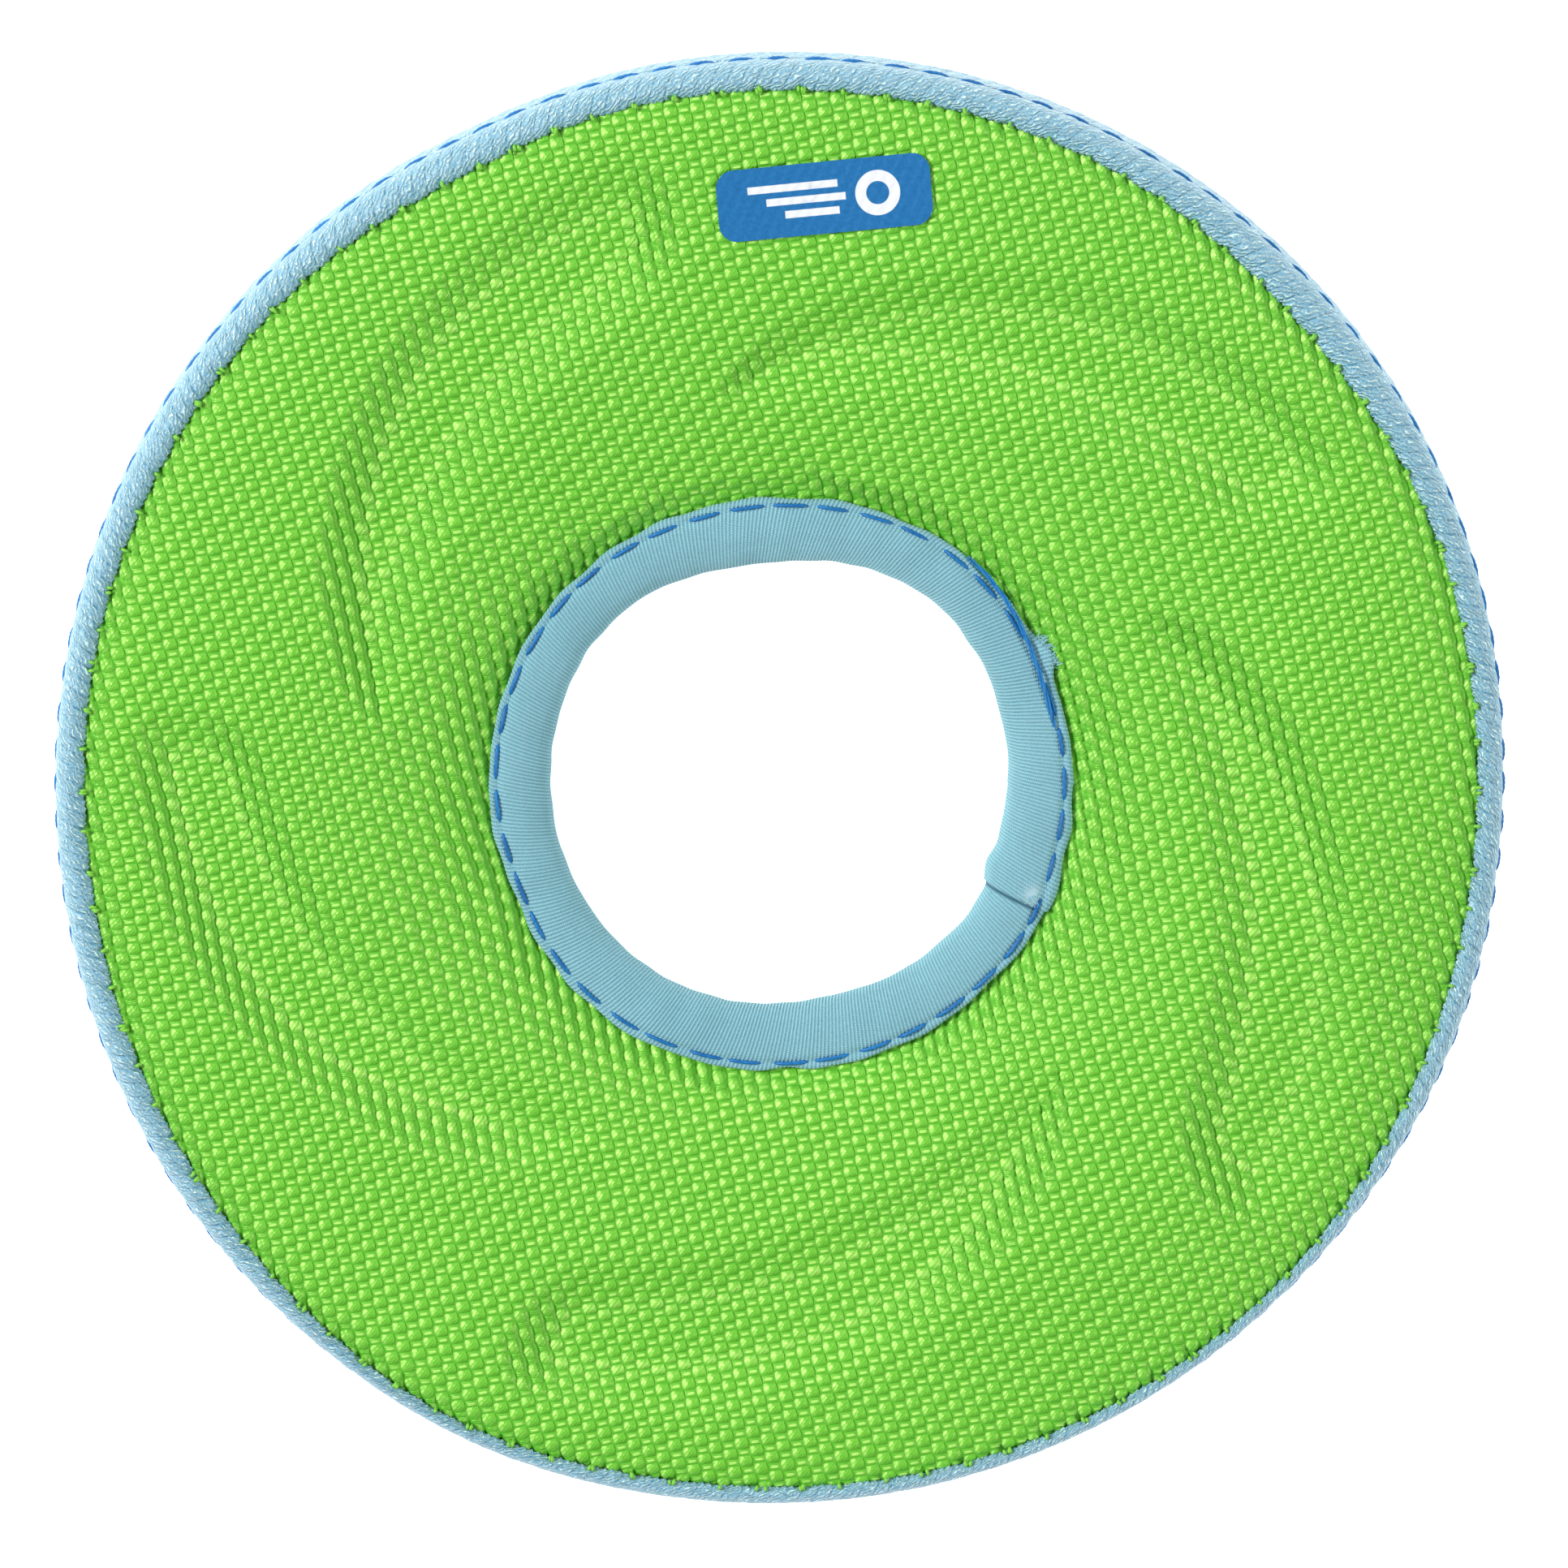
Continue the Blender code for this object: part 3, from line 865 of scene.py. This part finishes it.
def band_relief(u, s, height, angle):
    """How far the webbing's face stands off its mean surface: ribs, the selvedges' loops with a
    crease beside them, and the groove that the topstitch draws. s is the length across it."""
    from_rib = np.abs(2 * ((u + BAND_SLANT * s) / RIB % 1.0) - 1.0)
    ribs = 0.09 * (1.0 - from_rib ** 3) - 0.05
    from_edge = np.minimum(s, s.max() - s)
    zigzag = 0.35 * np.sin(2 * math.pi * from_edge / 0.9)
    loops = 0.16 * np.cos(2 * math.pi * (u / RIB * 2 + zigzag))
    selvedge = ease((1.0 - from_edge) / 0.35)
    relief = ribs * (1 - selvedge) + (loops + 0.05) * selvedge
    groove = swell_at(height, stitch_line(angle), 0.36) * (height > 0)
    crease = swell_at(from_edge, 1.05, 0.22)
    return relief - 0.374 * groove - 0.10 * crease


def rim_band(look):
    """The webbing: a closed strip folded over the rim."""
    steps = RIBS * RIB_STEPS
    face, s, normal = rounded_path(BAND_FACE, 46, 0.7)
    back = np.array(BAND_BACK)
    angle = np.arange(steps) * 360.0 / steps
    grid_angle, grid_s = np.meshgrid(angle, s, indexing="ij")
    u = np.radians(grid_angle) * RIM
    relief = band_relief(u, grid_s, face[None, :, 1], grid_angle)
    relief = relief + 0.05 * wave_field(u, grid_s, 31, 3.0)
    radius = face[None, :, 0] + relief * normal[None, :, 0]
    height = face[None, :, 1] + relief * normal[None, :, 1]
    from_edge = np.minimum(grid_s, grid_s.max() - grid_s)
    radius = radius + 0.26 * (0.75 - pucker(grid_angle)) * np.exp(-from_edge / 0.9)
    height = height - np.sign(height) * 0.22 * (1 - pucker(grid_angle)) * np.exp(-from_edge / 1.3)
    radius = with_back(radius, back[:, 0])
    height = with_back(height, back[:, 1])
    mesh = strip_mesh(radius, height, angle, s, BAND_BACK_LENGTH, 2 * math.pi * RIM)
    return link("rim_band", mesh, look)


# ---- hole tape

TAPE_RADIUS = 30.0  # where the tape's ribs are counted
LIP_RADIUS = 33.0  # where waves and fibres along the lip are measured
TAPE_RIB = 0.43
TAPE_RIBS = round(2 * math.pi * TAPE_RADIUS / TAPE_RIB)
TAPE_RIB_STEPS = 3
TAPE_SLANT = 0.5  # ribs that the weave has gone over by, for each mm from the lip
FOLD_ANGLE = -26.0  # the tape's folded end, which lies over its start
FOLD_REACH = 40.0  # how far round the folded end lies over the start, in degrees
FOLD_THICKNESS = 0.36
FOLD_LIFT = 0.3  # of the stitches over it, which sink in a little
FRAY_ANGLE = 26.0  # the cut corner of the tape's start, which peeps out past the lip

# The tape's section, as (radius, height): its face from lip to lip, and its hidden back
TAPE_FACE_TOP = [
    (TAPE_LIP - 0.5, 1.15), (TAPE_LIP, 1.35), (TAPE_LIP + 0.02, 2.1), (TAPE_LIP - 0.5, 2.45),
    (NEEDLE_RADIUS, 2.45), (HOLE + 4.6, 2.6), (HOLE + 3.2, 2.55), (HOLE + 1.6, 2.1),
    (HOLE + 0.5, 1.3), (HOLE, 0.3),
]
TAPE_FACE = TAPE_FACE_TOP + [(r, -h) for r, h in reversed(TAPE_FACE_TOP)]
TAPE_BACK = [(HOLE + 1.9, -0.7), (HOLE + 1.4, 0.0), (HOLE + 1.9, 0.7)]
TAPE_BACK_LENGTH = 7.0


def overlap(angle):
    """1 where the folded end lies over the tape's start, ending sharply at the fold."""
    past = (angle - FOLD_ANGLE + 180.0) % 360.0 - 180.0
    return ease(past / 0.6 + 0.5) * ease((FOLD_REACH - past) / 28.0)


def tape_relief(u, s, angle, from_needle):
    """How far the tape's face stands off its mean surface: ribs, soft waves, the folded end, the
    groove of the lockstitch and a crease between it and the lip. u counts ribs, and s is the
    length across."""
    relief = 0.035 * np.cos(2 * math.pi * (u - TAPE_SLANT * s))
    relief = relief + 0.10 * wave_field(np.radians(angle) * TAPE_RADIUS, s, 41, 6.0)
    relief = relief + FOLD_THICKNESS * overlap(angle)
    between = np.abs(np.sin(np.radians(angle) * LOCKSTITCH.count / 2))
    relief = relief - (0.36 + 0.10 * between) * swell_at(from_needle, 0.0, 0.34)
    return relief - 0.10 * swell_at(from_needle, 0.75, 0.12)


def hole_tape(look):
    """The tape: a closed strip rolled over the hole's edge."""
    steps = TAPE_RIBS * TAPE_RIB_STEPS
    face, s, normal = rounded_path(TAPE_FACE, 60, 0.55)
    back = np.array(TAPE_BACK)
    angle = np.arange(steps) * 360.0 / steps
    grid_angle, grid_s = np.meshgrid(angle, s, indexing="ij")
    u = np.arange(steps)[:, None] / TAPE_RIB_STEPS
    relief = tape_relief(u, grid_s, grid_angle, face[None, :, 0] - NEEDLE_RADIUS)
    radius = face[None, :, 0] - relief * normal[None, :, 0]
    height = face[None, :, 1] - relief * normal[None, :, 1]
    lip = swell_at(face[None, :, 0], TAPE_LIP, 0.7)
    waves = wave_field(np.radians(grid_angle) * LIP_RADIUS, 0 * grid_s, 42, 5.0)
    radius = radius + 0.22 * lip * waves
    flap = swell(grid_angle, FRAY_ANGLE, 4.0) * lip * (height > 0)
    radius = radius + 1.2 * flap
    height = height + 0.75 * flap
    radius = with_back(radius, back[:, 0])
    height = with_back(height, back[:, 1])
    upper = (height > 0) & (radius < NEEDLE_RADIUS - 0.2)
    # fold: where the tape material paints a shadow line along the folded end's edge
    fold = swell(angle[:, None], FOLD_ANGLE - 0.5, 0.42)
    worn = swell(angle[:, None], FOLD_ANGLE + 2.0, 1.8) * swell_at(radius, NEEDLE_RADIUS - 0.9, 0.8)
    marks = {"fold": fold * upper, "worn": worn * upper}
    mesh = strip_mesh(radius, height, angle, s, TAPE_BACK_LENGTH, TAPE_RIBS, marks)
    return link("hole_tape", mesh, look)


# ---- stitches


def stitch_paths(stitch, place, seed):
    """Paths of a row of stitches; place(angle, lift) gives the points on the cloth."""
    rng = np.random.default_rng(seed)
    share = np.linspace(-1.0, 1.0, STITCH_POINTS)
    lift = stitch.crown - (stitch.crown - stitch.dive) * np.abs(share) ** 3
    paths = []
    for number in range(stitch.count):
        centre = (number + rng.uniform(-0.07, 0.07)) * 360.0 / stitch.count
        reach = 180.0 / stitch.count * stitch.shown * rng.uniform(0.9, 1.1)
        paths.append(place(centre + share * reach, lift))
    return paths


def topstitch_place(angle, lift):
    """On the rim's wall, in the groove that the stitches draw."""
    return ring_point(RIM - 0.22 + lift, angle, stitch_line(angle))


def lockstitch_place(side):
    """On the tape's upper face (side = 1) or its lower one (side = -1)."""
    return lambda angle, lift: ring_point(
        NEEDLE_RADIUS, angle, side * (LOCKSTITCH_HEIGHT + FOLD_LIFT * overlap(angle) + lift)
    )


def seam_place(side):
    """In the hidden seam, between a cover's edge and the band's selvedge."""
    low, high = (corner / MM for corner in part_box("top_seam_thread"))
    radius = high.x - THREAD / 2
    height = (low.z + high.z) / 2 - MIDDLE
    return lambda angle, lift: ring_point(radius, angle, side * (height + lift))


def loose_stitch():
    """A skipped stretch of needle thread, lying loose along the tape's lip, its plies parted."""
    share = np.linspace(0.0, 1.0, 60)
    angle = 51.0 - 40.0 * share
    arch = np.sin(math.pi * share)
    radius = TAPE_LIP + 0.15 - 1.5 * ease(share * 1.15) + 0.35 * arch * (1 - share)
    height = 2.15 + 0.75 * arch ** 0.5
    paths = []
    for ply in range(3):
        turn = 2 * math.pi * (ply / 3 + 2.5 * share)
        paths.append(ring_point(radius + 0.17 * np.cos(turn), angle, height + 0.13 * np.sin(turn)))
    return paths


def add_stitches(look, bright):
    """Every row of stitches, and the loose one in a brighter thread."""
    rows = (
        ("topstitches", "outer_stitch_thread", TOPSTITCH, topstitch_place, 51),
        ("needle_stitches", "inner_needle_thread", LOCKSTITCH, lockstitch_place(1), 52),
        ("bobbin_stitches", "inner_bobbin_thread", LOCKSTITCH, lockstitch_place(-1), 53),
        ("top_seam_stitches", "top_seam_thread", SEAM_STITCH, seam_place(1), 54),
        ("bottom_seam_stitches", "bottom_seam_thread", SEAM_STITCH, seam_place(-1), 55),
    )
    for name, node, stitch, place, seed in rows:
        paths = stitch_paths(stitch, place, seed)
        piece = link(name, tubes_mesh(paths, stitch.thickness, ply=0.1), look)
        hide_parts(node)
    link("loose_stitch", tubes_mesh(loose_stitch(), 0.27, ply=0.12), bright)


def add_seam_tufts(look):
    """Corners of the cover's yarns that stand up where each seam stitch draws the cloth in."""
    rng = np.random.default_rng(61)
    share = np.linspace(-1.0, 1.0, 7)
    paths = []
    for number in range(PUCKERS):
        for _ in range(rng.integers(1, 4)):
            centre = number * 360.0 / PUCKERS + rng.normal(0.0, 0.22)
            tilt = rng.uniform(-0.4, 0.4)
            reach = rng.uniform(0.25, 0.45)
            radius = SEAM - 0.02 + share * reach * math.cos(tilt) + rng.uniform(-0.1, 0.2)
            angle = centre + np.degrees(share * reach * math.sin(tilt) / SEAM)
            height = 5.5 + rng.uniform(0.0, 0.2) + 0.35 * (1 - share ** 2)
            paths.append(ring_point(radius, angle, height))
    link("seam_tufts", tubes_mesh(paths, 0.40, 6), look)


def add_fraying(look):
    """Loose fibres at the tape's cut corner and at its folded end."""
    rng = np.random.default_rng(71)
    share = np.linspace(0.0, 1.0, 6)
    paths = []
    for spot, spread, radius_from, height_from, count in (
        (FRAY_ANGLE + 1.0, 3.4, TAPE_LIP + 0.9, 2.5, 90),
        (FOLD_ANGLE + 2.0, 1.3, TAPE_LIP - 2.0, 2.75, 36),
    ):
        for _ in range(count):
            angle = spot + rng.uniform(-spread, spread)
            heading = rng.normal(0.0, 0.7)
            reach = rng.uniform(0.35, 1.1)
            curl = rng.normal(0.0, 0.25)
            bend = curl * share ** 2
            out = share * reach * math.cos(heading) + bend
            aside = share * reach * math.sin(heading) - bend
            radius = radius_from + rng.uniform(-0.5, 0.2) + out
            turn = angle + np.degrees(aside / LIP_RADIUS)
            height = height_from + rng.uniform(-0.25, 0.15) + rng.uniform(0.0, 0.5) * share
            paths.append(ring_point(radius, turn, height))
    link("frayed_fibres", tubes_mesh(paths, 0.075, 5), look)


# ---- badge

BADGE_LENGTH = 24.0
BADGE_WIDTH = 8.0
BADGE_CORNER = 2.0
BADGE_TURN = 5.0  # degrees
BADGE_LIFT = 0.34  # above the cover's mean surface, so that it lies on top of the nubs


def rounded_rectangle(length, width, corner, columns, rows):
    """A grid of points filling a rectangle, those in its corners pulled in to round them."""
    along = np.linspace(-length / 2, length / 2, columns)
    across = np.linspace(-width / 2, width / 2, rows)
    x, y = np.meshgrid(along, across, indexing="ij")
    core_x = length / 2 - corner
    core_y = width / 2 - corner
    over_x = np.maximum(np.abs(x) - core_x, 0.0)
    over_y = np.maximum(np.abs(y) - core_y, 0.0)
    pull = np.minimum(1.0, corner / np.maximum(np.hypot(over_x, over_y), 1e-9))
    x = np.sign(x) * (np.minimum(np.abs(x), core_x) + over_x * pull)
    y = np.sign(y) * (np.minimum(np.abs(y), core_y) + over_y * pull)
    return x, y


def add_badge(look):
    """A printed film that follows the cloth under it."""
    columns, rows = 145, 49
    x, y = rounded_rectangle(BADGE_LENGTH, BADGE_WIDTH, BADGE_CORNER, columns, rows)
    centre = (badge_low + badge_high) / 2
    turn = math.radians(BADGE_TURN)
    world_x = centre.x + x * math.cos(turn) - y * math.sin(turn)
    world_y = centre.y + x * math.sin(turn) + y * math.cos(turn)
    radius = np.hypot(world_x, world_y)
    angle = np.degrees(np.arctan2(world_y, world_x))
    u = (world_x * PICK_DIRECTION[0] + world_y * PICK_DIRECTION[1]) / COLUMN
    v = (world_x * COLUMN_DIRECTION[0] + world_y * COLUMN_DIRECTION[1]) / PICK
    print_through = 0.045 * np.cos(2 * math.pi * u) * np.cos(math.pi * v)
    height = cover_surface(radius, angle, blades=True) + BADGE_LIFT + print_through
    points = ring_point(radius, angle, height)
    i, j = grid_quads(columns, rows)
    uv = np.stack([x[i, j], y[i, j]], axis=-1)
    mesh = quad_mesh(points.reshape(-1, 3), i * rows + j, uv)
    piece = link("printed_badge", mesh, look)
    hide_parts("badge_film")


# ---- stage, in metres

LIGHT_DISTANCE = 3.4
SOFTBOXES = (  # name, azimuth from +X, elevation, size and watts
    ("softbox_left", 160, 38, (1.2, 0.9), 108.0),
    ("softbox_right", -20, 34, (1.1, 0.9), 48.0),
    ("softbox_back", 88, 36, (1.3, 0.8), 20.0),
)
WORLD_STRENGTH = 0.26
WHITE = (1.0, 1.0, 1.0, 1.0)
FLOOR_HALF = 14.0
FLOOR_GLOW = 0.8

CAMERA_TILT = 10.5  # degrees off straight down, towards +Y
CAMERA_DISTANCE = 2.2
VIEW_WIDTH = 0.1783  # of the scene at the ring
AIM = (0.5 * MM, -0.35 * MM, MIDDLE * MM)


def add_softbox(name, azimuth, elevation, size, energy):
    """A soft area light that faces the ring."""
    data = bpy.data.lights.new(name, "AREA")
    data.shape = "RECTANGLE"
    data.size, data.size_y = size
    data.energy = energy
    lamp = bpy.data.objects.new(name, data)
    bpy.context.scene.collection.objects.link(lamp)
    a, e = math.radians(azimuth), math.radians(elevation)
    flat = math.cos(e)
    lamp.location = LIGHT_DISTANCE * Vector((math.cos(a) * flat, math.sin(a) * flat, math.sin(e)))
    lamp.rotation_mode = "QUATERNION"
    lamp.rotation_quaternion = lamp.location.to_track_quat("Z", "Y")


def add_studio():
    """The softboxes in even, weak light from all round, which the camera sees as white."""
    for softbox in SOFTBOXES:
        add_softbox(*softbox)
    world = bpy.data.worlds.new("studio")
    bpy.context.scene.world = world
    world.use_nodes = True
    nodes, links = world.node_tree.nodes, world.node_tree.links
    light = nodes["Background"]
    seen = nodes.new("ShaderNodeBackground")
    for background, strength in ((light, WORLD_STRENGTH), (seen, 1.0)):
        background.inputs["Color"].default_value = WHITE
        background.inputs["Strength"].default_value = strength
    rays = nodes.new("ShaderNodeLightPath")
    mix = nodes.new("ShaderNodeMixShader")
    links.new(rays.outputs["Is Camera Ray"], mix.inputs["Fac"])
    links.new(light.outputs[0], mix.inputs[1])
    links.new(seen.outputs[0], mix.inputs[2])
    links.new(mix.outputs[0], nodes["World Output"].inputs["Surface"])
    bpy.context.scene.view_settings.view_transform = "Standard"


def add_floor():
    """A pale light table: it glows a little, so that the ring stands on near white."""
    look = Look("pale_floor", Roughness=0.9)
    look.shader.inputs["Base Color"].default_value = (0.94, 0.94, 0.94, 1.0)
    look.shader.inputs["Emission Color"].default_value = WHITE
    look.shader.inputs["Emission Strength"].default_value = FLOOR_GLOW
    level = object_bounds()[0][2] - 0.02 * MM
    mesh = bpy.data.meshes.new("floor")
    corners = ((-1, -1), (1, -1), (1, 1), (-1, 1))
    points = [(x * FLOOR_HALF, y * FLOOR_HALF, level) for x, y in corners]
    mesh.from_pydata(points, [], [(0, 1, 2, 3)])
    mesh.materials.append(look.material)
    floor = bpy.data.objects.new("floor", mesh)
    bpy.context.scene.collection.objects.link(floor)


def add_camera():
    """Nearly overhead, with a long lens."""
    data = bpy.data.cameras.new("camera")
    data.lens = data.sensor_width * CAMERA_DISTANCE / VIEW_WIDTH
    camera = bpy.data.objects.new("camera", data)
    bpy.context.scene.collection.objects.link(camera)
    tilt = math.radians(CAMERA_TILT)
    camera.location = Vector(AIM) + CAMERA_DISTANCE * Vector((0.0, math.sin(tilt), math.cos(tilt)))
    camera.rotation_euler = (-tilt, 0.0, 0.0)
    bpy.context.scene.camera = camera


# ---- assembly


def add_covers(look):
    """Both covers, each cut as a ring from a square of cloth and sewn in all round."""
    for name, node, up in (("upper_cover", "top_cover", 1), ("lower_cover", "bottom_cover", -1)):
        cover = woven_cover(name, up, look)
        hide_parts(node)


def main():
    nylon = nylon_look()
    tape = tape_look()
    webbing = webbing_look()
    thread = thread_look("blue_thread", dark=(0.004, 0.095, 0.33), light=(0.012, 0.24, 0.60))
    bright = thread_look("bright_thread", dark=(0.008, 0.13, 0.42), light=(0.03, 0.30, 0.68))
    foam = foam_ring(foam_look())
    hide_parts("foam_core")
    add_covers(nylon)
    band = rim_band(webbing)
    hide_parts("outer_binding")
    hem = hole_tape(tape)
    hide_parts("inner_binding")
    add_stitches(thread, bright)
    add_seam_tufts(nylon)
    add_fraying(tape)
    add_badge(badge_look())
    add_studio()
    add_camera()
    add_floor()


main()
